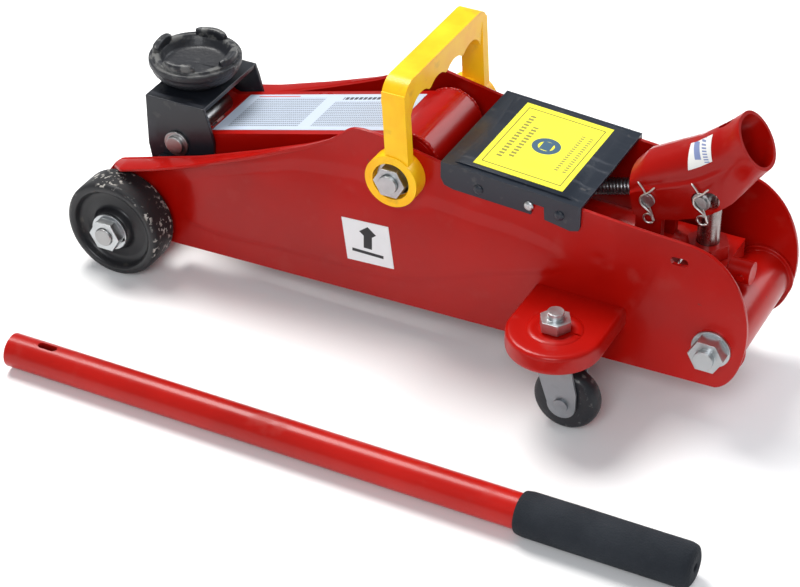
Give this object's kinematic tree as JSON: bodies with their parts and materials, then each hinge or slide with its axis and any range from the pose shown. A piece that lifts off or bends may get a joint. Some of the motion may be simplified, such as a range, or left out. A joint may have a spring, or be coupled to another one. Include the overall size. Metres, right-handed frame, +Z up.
{
  "type": "trolley jack",
  "caption": "Low wheeled hydraulic floor jack with a round toothed lifting saddle, folding carry handle, pump handle socket, swivel casters and a loose gripped handle bar.",
  "frame": {"origin": "centre of the footprint of the jack and its loose handle bar, on the ground", "axes": "+X towards the end where the handle goes in, -X towards the lifting saddle, +Z up, -Y towards the side where the loose bar lies"},
  "size_m": [0.4734, 0.3032, 0.1842],
  "materials": {
    "red_paint": "gloss",
    "black_paint": "satin",
    "zinc": "satin",
    "steel": "satin",
    "black_cast": "satin",
    "dark_steel": "satin",
    "yellow_plastic": "gloss",
    "foam_grip": "matte",
    "yellow_label": "satin",
    "white_label": "satin",
    "caster_tread": "satin"
  },
  "bodies": {
    "chassis": {"left_side_plate": "red_paint", "right_side_plate": "red_paint", "front_axle": "steel", "front_spacer_tube": "red_paint", "left_axle_nut": "zinc", "right_axle_nut": "zinc", "pivot_shaft": "steel", "left_pivot_nut": "zinc", "right_pivot_nut": "zinc", "left_anchor_stud": "steel", "right_anchor_stud": "steel", "power_unit_block": "red_paint", "ram_cylinder": "red_paint", "gland_nut": "dark_steel", "left_return_spring": "dark_steel", "right_return_spring": "dark_steel", "pump_cylinder": "red_paint", "cover_plate": "black_paint", "cover_label": "yellow_label", "left_cover_screws": "zinc", "right_cover_screws": "zinc", "side_sticker": "white_label", "left_caster_bracket": "red_paint", "right_caster_bracket": "red_paint", "left_kingpin": "zinc", "right_kingpin": "zinc", "rear_tube": "red_paint", "rear_bolt": "zinc"},
    "front_wheel_left": {"left_front_wheel": "black_cast"},
    "front_wheel_right": {"right_front_wheel": "black_cast"},
    "lift": {"lift_arm": "red_paint", "pivot_tube": "red_paint", "lever_pin": "steel", "push_roller": "steel", "arm_label": "white_label"},
    "saddle_head": {"saddle_bracket": "black_paint", "bracket_pin": "black_paint", "left_link_stud": "steel", "right_link_stud": "steel"},
    "saddle": {"saddle": "black_cast", "saddle_nut": "zinc"},
    "link_left": {"left_link_rod": "black_paint"},
    "link_right": {"right_link_rod": "black_paint"},
    "ram": {"ram": "steel", "cross_pin": "steel"},
    "caster_fork_left": {"left_caster_fork": "dark_steel"},
    "caster_fork_right": {"right_caster_fork": "dark_steel"},
    "caster_wheel_left": {"left_caster_wheel": "caster_tread"},
    "caster_wheel_right": {"right_caster_wheel": "caster_tread"},
    "handle_socket": {"handle_socket": "red_paint", "socket_pin": "zinc", "socket_clip": "zinc"},
    "pump_plunger": {"pump_plunger": "steel", "plunger_pin": "zinc", "plunger_clip": "zinc"},
    "release_valve": {"release_valve": "steel"},
    "carry_handle": {"carry_handle": "yellow_plastic"},
    "handle_bar": {"handle_tube": "red_paint", "handle_grip": "foam_grip"}
  },
  "joints": [
    {"name": "front_wheel_left_spin", "type": "hinge", "parent": "chassis", "child": "front_wheel_left", "pos_m": [-0.20335, -0.01837, 0.0333], "axis": [0, 1, 0], "continuous": true},
    {"name": "front_wheel_right_spin", "type": "hinge", "parent": "chassis", "child": "front_wheel_right", "pos_m": [-0.20335, 0.10162, 0.0333], "axis": [0, 1, 0], "continuous": true},
    {"name": "lift", "type": "hinge", "parent": "chassis", "child": "lift", "pos_m": [-0.01135, 0.04163, 0.117], "axis": [0, 1, 0], "range_deg": [0, 66]},
    {"name": "saddle_head_tilt", "type": "hinge", "parent": "lift", "child": "saddle_head", "pos_m": [-0.17405, 0.04163, 0.0857], "axis": [0, 1, 0], "range_deg": [-66, 0]},
    {"name": "saddle_swivel", "type": "hinge", "parent": "saddle_head", "child": "saddle", "pos_m": [-0.17835, 0.04163, 0.115], "axis": [0, 0, 1], "continuous": true},
    {"name": "link_left_swing", "type": "hinge", "parent": "chassis", "child": "link_left", "pos_m": [-0.01935, 0.00588, 0.099], "axis": [0, 1, 0], "range_deg": [0, 66]},
    {"name": "link_right_swing", "type": "hinge", "parent": "chassis", "child": "link_right", "pos_m": [-0.01935, 0.07737, 0.099], "axis": [0, 1, 0], "range_deg": [0, 66]},
    {"name": "ram_slide", "type": "slide", "parent": "chassis", "child": "ram", "axis": [-1, 0, 0], "range_m": [0, 0.0502], "deforming": ["left_return_spring", "right_return_spring"]},
    {"name": "caster_left_swivel", "type": "hinge", "parent": "chassis", "child": "caster_fork_left", "pos_m": [0.10765, -0.03938, 0.056], "axis": [0, 0, 1], "continuous": true},
    {"name": "caster_left_spin", "type": "hinge", "parent": "caster_fork_left", "child": "caster_wheel_left", "pos_m": [0.11765, -0.03938, 0.0205], "axis": [0, 1, 0], "continuous": true},
    {"name": "caster_right_swivel", "type": "hinge", "parent": "chassis", "child": "caster_fork_right", "pos_m": [0.10765, 0.12262, 0.056], "axis": [0, 0, 1], "continuous": true},
    {"name": "caster_right_spin", "type": "hinge", "parent": "caster_fork_right", "child": "caster_wheel_right", "pos_m": [0.11765, 0.12262, 0.0205], "axis": [0, 1, 0], "continuous": true},
    {"name": "handle_socket_swing", "type": "hinge", "parent": "chassis", "child": "handle_socket", "pos_m": [0.13545, 0.04163, 0.1256], "axis": [0, 1, 0], "range_deg": [-20, 12]},
    {"name": "plunger_slide", "type": "slide", "parent": "chassis", "child": "pump_plunger", "axis": [0, 0, 1], "range_m": [-0.0077, 0.0128]},
    {"name": "release_valve_turn", "type": "hinge", "parent": "chassis", "child": "release_valve", "pos_m": [0.18665, 0.04163, 0.082], "axis": [1, 0, 0], "range_deg": [0, 180]},
    {"name": "carry_handle_swing", "type": "hinge", "parent": "chassis", "child": "carry_handle", "pos_m": [-0.01135, 0.04163, 0.117], "axis": [0, 1, 0], "range_deg": [0, 55]},
    {"name": "handle_bar_lift_off", "type": "slide", "parent": "chassis", "child": "handle_bar", "axis": [0, 0, 1], "range_m": [0, 0.3]}
  ],
  "couplings": [
    {"joint": "saddle_head_tilt", "follows": "lift", "ratio": -1},
    {"joint": "link_left_swing", "follows": "lift", "ratio": 1},
    {"joint": "link_right_swing", "follows": "lift", "ratio": 1},
    {"joint": "ram_slide", "follows": "lift", "m_per_rad": 0.04349},
    {"joint": "plunger_slide", "follows": "handle_socket_swing", "m_per_rad": -0.0363}
  ]
}
